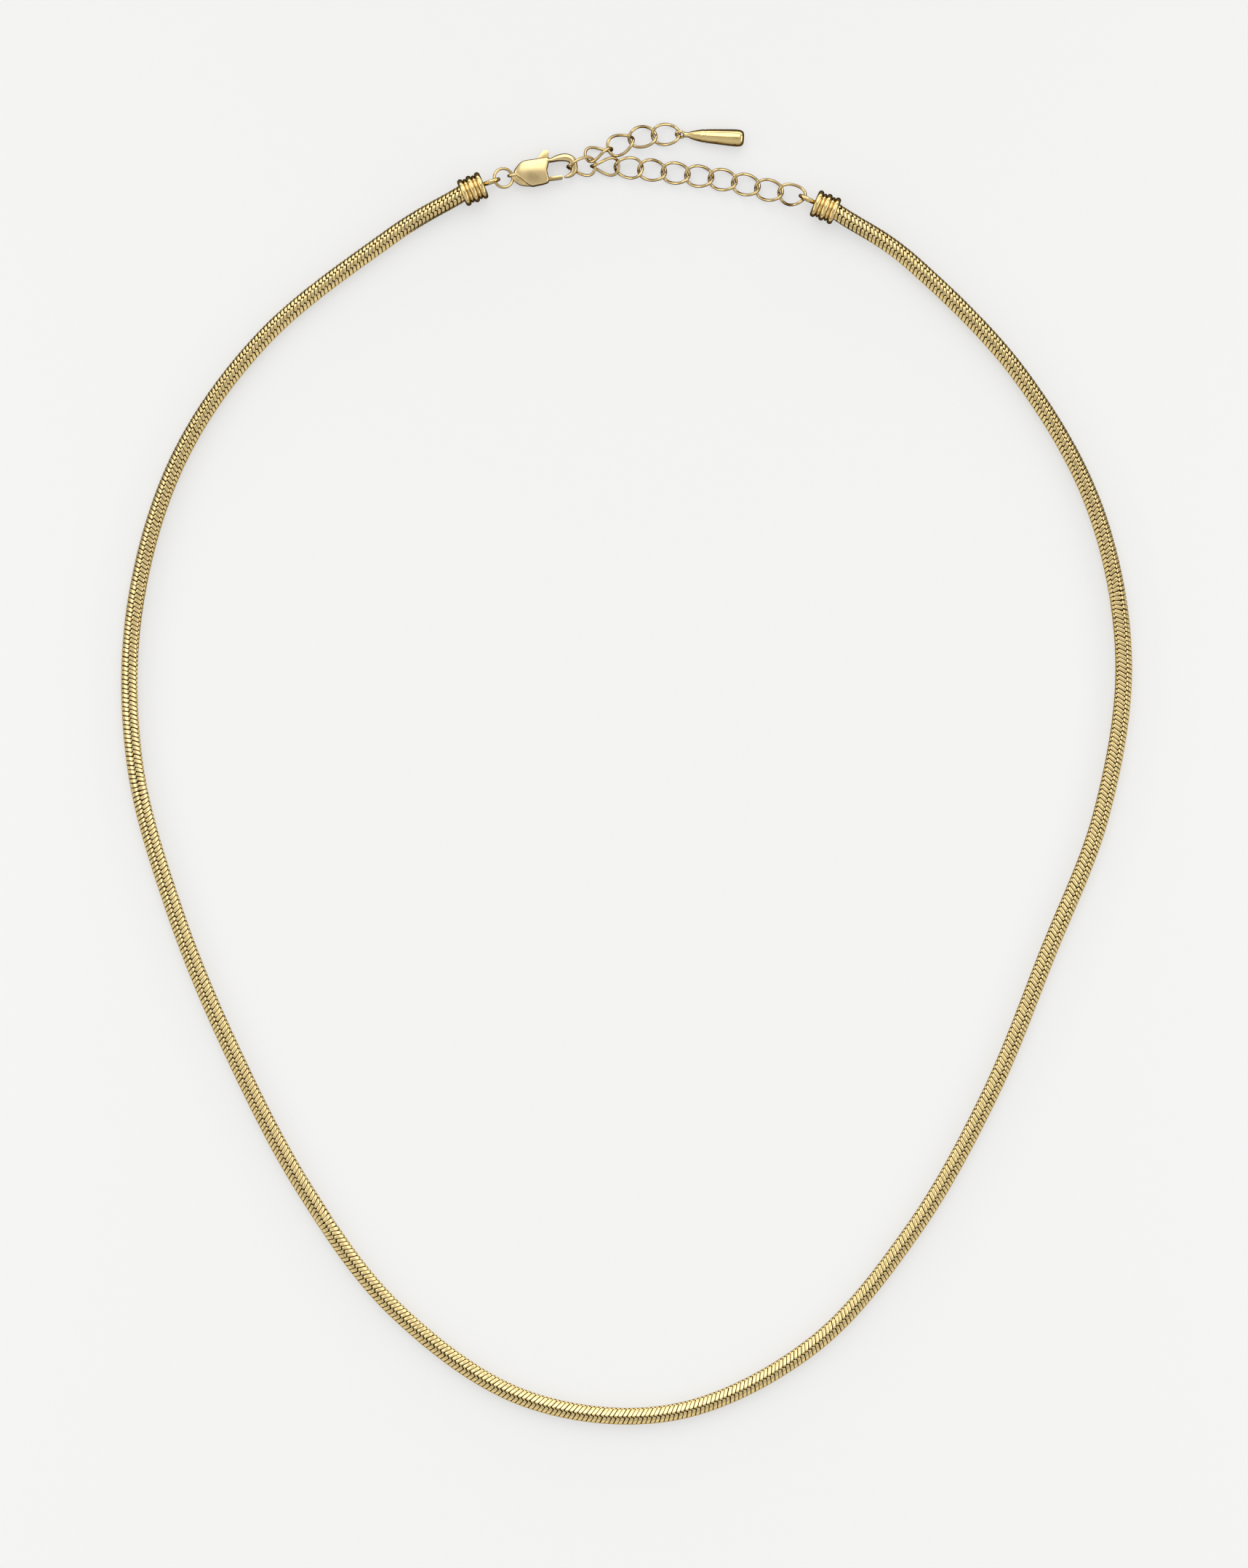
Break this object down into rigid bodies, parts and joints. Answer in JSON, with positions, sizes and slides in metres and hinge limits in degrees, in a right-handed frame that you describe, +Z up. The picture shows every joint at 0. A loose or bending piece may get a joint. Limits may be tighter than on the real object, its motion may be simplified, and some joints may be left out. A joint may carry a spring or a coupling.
{
  "type": "snake chain necklace",
  "caption": "Round snake chain necklace with ribbed end caps, a sprung lobster clasp on a jump ring and an extender chain with a smooth drop tag, lying closed on a flat surface.",
  "frame": {"origin": "under the middle of the lying necklace, on the surface it lies on", "axes": "+Z up, away from the surface; +Y from the front of the loop towards the clasp; +X to the right in the view from above with the clasp at the top"},
  "size_m": [0.139, 0.1791, 0.0039],
  "materials": {
    "gold_chain": "gold plated brass, polished, woven",
    "gold_polished": "gold plated brass, mirror polished"
  },
  "bodies": {
    "necklace": {"snake_chain": "gold_chain", "end_cap_left": "gold_polished", "end_cap_right": "gold_polished", "jump_ring": "gold_polished", "clasp_body": "gold_polished", "extender_link_01": "gold_polished", "extender_link_02": "gold_polished", "extender_link_03": "gold_polished", "extender_link_04": "gold_polished", "extender_link_05": "gold_polished", "extender_link_06": "gold_polished", "extender_link_07": "gold_polished", "extender_link_08": "gold_polished", "extender_link_09": "gold_polished", "extender_link_10": "gold_polished", "extender_link_11": "gold_polished", "extender_link_12": "gold_polished", "extender_link_13": "gold_polished", "extender_link_14": "gold_polished", "drop_tag": "gold_polished"},
    "lever": {"clasp_lever": "gold_polished"}
  },
  "joints": [
    {"name": "clasp_lever_hinge", "type": "hinge", "parent": "necklace", "child": "lever", "pos_m": [-0.01179, 0.08326, 0.0012], "axis": [0, 0, 1], "range_deg": [0, 24], "stiffness_Nm_per_rad": 0.002, "springref_deg": -8.59}
  ]
}
